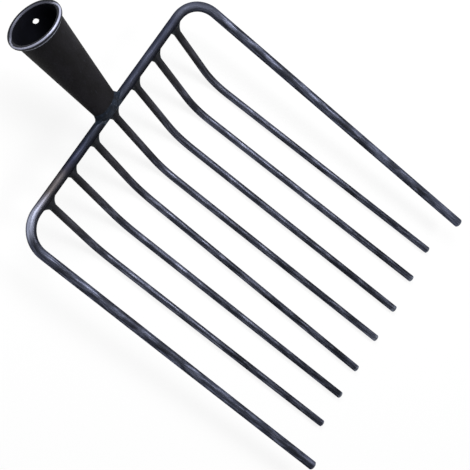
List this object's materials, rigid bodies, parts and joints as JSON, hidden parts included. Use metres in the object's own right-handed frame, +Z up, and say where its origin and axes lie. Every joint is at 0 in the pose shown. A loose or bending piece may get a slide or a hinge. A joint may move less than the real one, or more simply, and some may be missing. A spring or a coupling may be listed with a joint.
{
  "type": "garden fork head",
  "caption": "Wide steel fork head with round dished tines inside a U-shaped frame bar and a tapered handle socket with a rolled lip.",
  "frame": {"origin": "on the floor under the middle of the fork head, as it lies on its inner tines", "axes": "+Y from the crossbar towards the tine tips, +Z up, +X across the tines"},
  "size_m": [0.2788, 0.4448, 0.1211],
  "materials": {
    "frame_steel": "satin blue-grey oxide with lengthwise streaks",
    "tine_steel": "satin blue-grey oxide with lengthwise streaks",
    "socket_steel": "matt brown-black oxide with a bright rubbed lip",
    "weld_steel": "satin blue-black weld bead"
  },
  "bodies": {
    "root": {"frame_bar": "frame_steel", "inner_tine_1": "tine_steel", "tine_weld_1": "weld_steel", "inner_tine_2": "tine_steel", "tine_weld_2": "weld_steel", "inner_tine_3": "tine_steel", "tine_weld_3": "weld_steel", "inner_tine_4": "tine_steel", "tine_weld_4": "weld_steel", "inner_tine_5": "tine_steel", "tine_weld_5": "weld_steel", "inner_tine_6": "tine_steel", "tine_weld_6": "weld_steel", "inner_tine_7": "tine_steel", "tine_weld_7": "weld_steel", "socket": "socket_steel", "socket_weld_top": "weld_steel", "socket_weld_bottom": "weld_steel"}
  },
  "joints": []
}
